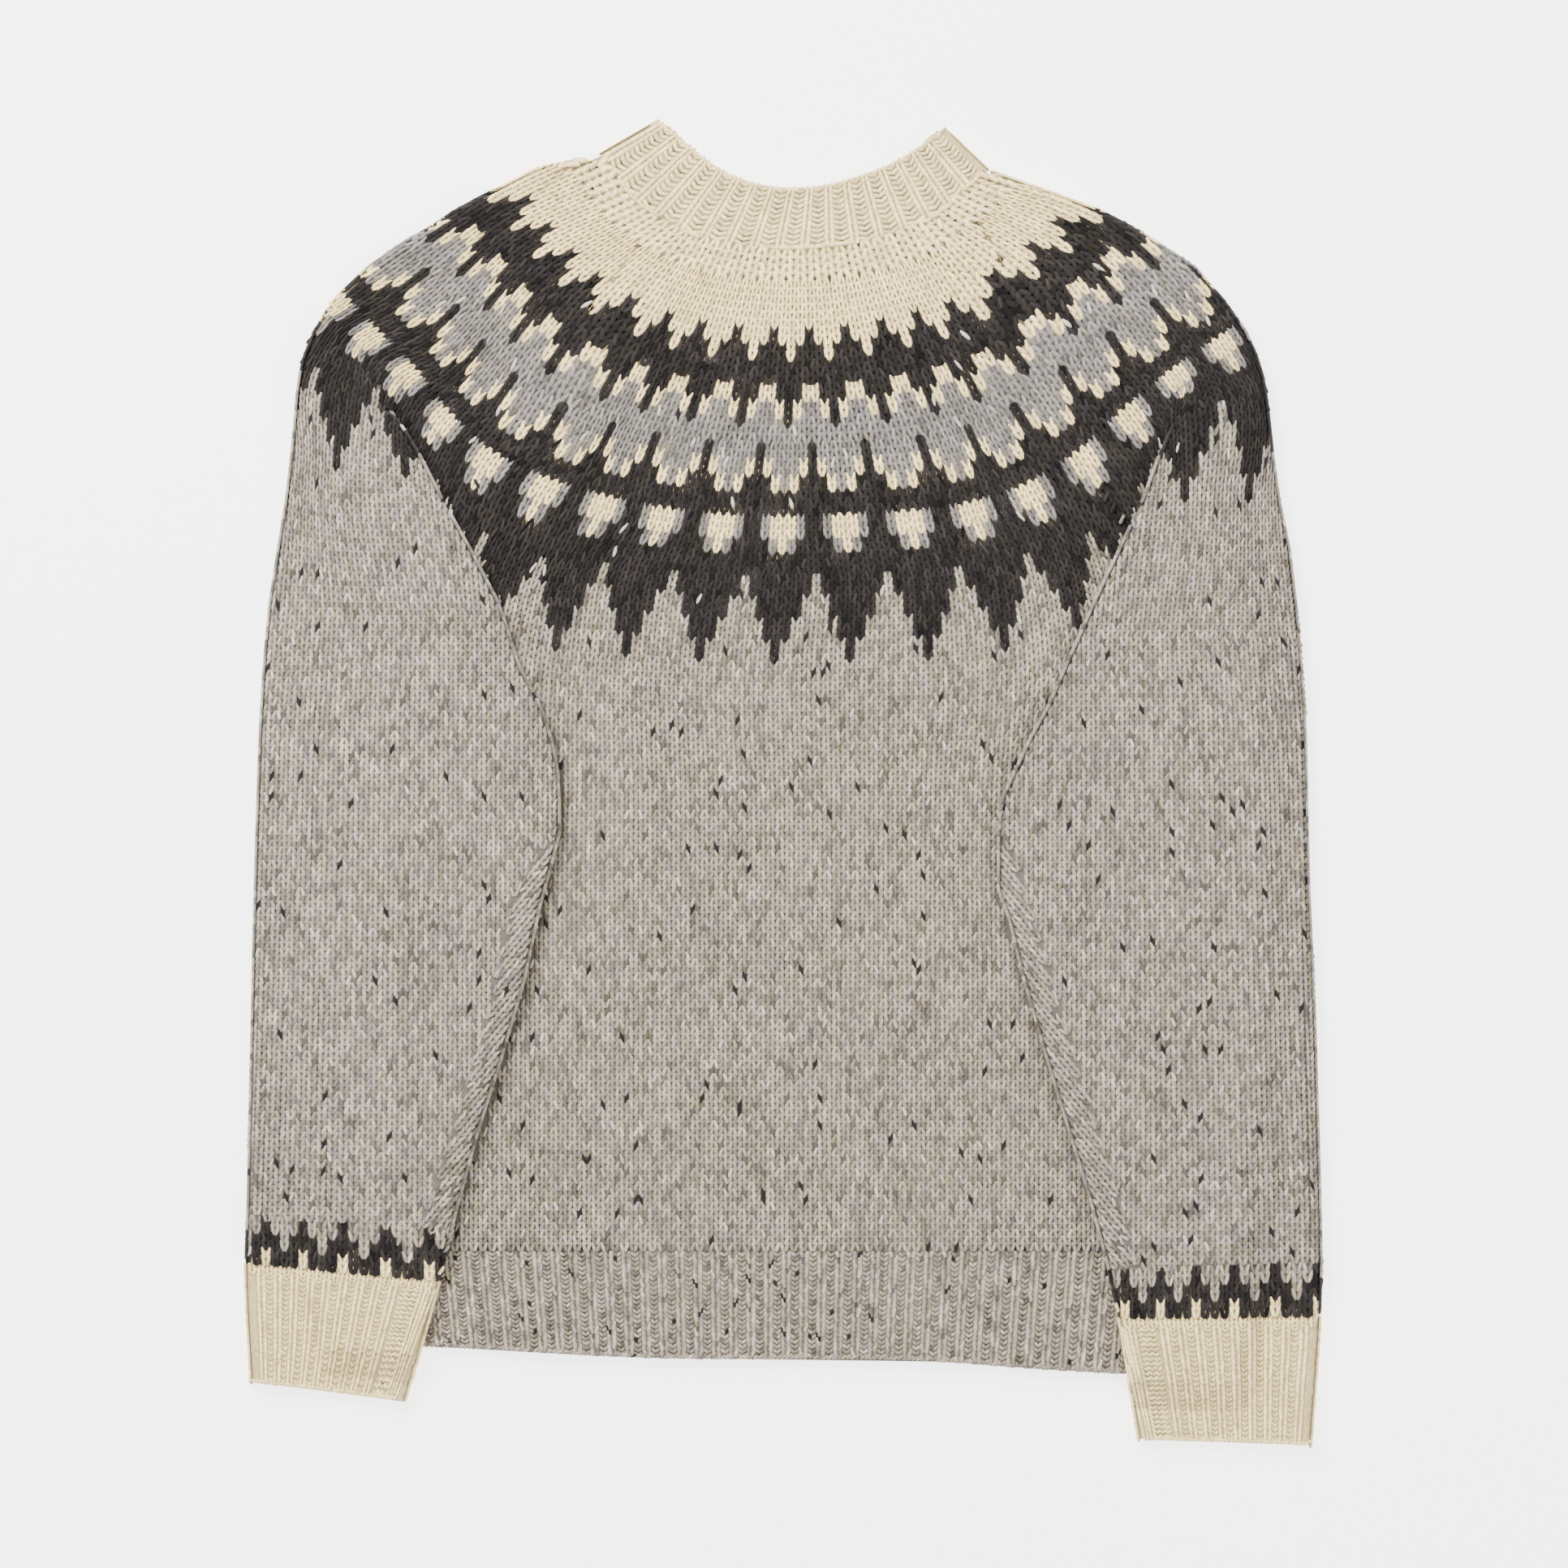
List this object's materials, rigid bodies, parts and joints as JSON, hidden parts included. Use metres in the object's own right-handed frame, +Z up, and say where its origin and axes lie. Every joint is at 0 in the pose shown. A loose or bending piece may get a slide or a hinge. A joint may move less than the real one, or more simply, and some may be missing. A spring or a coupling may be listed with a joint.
{
  "type": "jacquard sweater",
  "caption": "Knitted crew-neck pullover with a patterned circular yoke and ribbed edges, laid flat with its sleeves folded down over the back.",
  "frame": {"origin": "middle of the garment's outline, on the surface that it lies on", "axes": "+Z up off that surface, +Y along the body towards the neck, +X across the body to the viewer's right"},
  "size_m": [0.5814, 0.716, 0.0159],
  "materials": {
    "jacquard_knit": "brushed wool tweed in grey, cream and charcoal, stocking stitch",
    "grey_rib": "grey wool tweed, one by one rib",
    "cream_rib": "cream wool tweed, one by one rib"
  },
  "bodies": {
    "root": {"back_panel": "jacquard_knit", "front_panel": "jacquard_knit", "left_sleeve": "jacquard_knit", "right_sleeve": "jacquard_knit", "back_hem": "grey_rib", "front_hem": "grey_rib", "neckband": "cream_rib", "left_cuff": "cream_rib", "right_cuff": "cream_rib"}
  },
  "joints": []
}
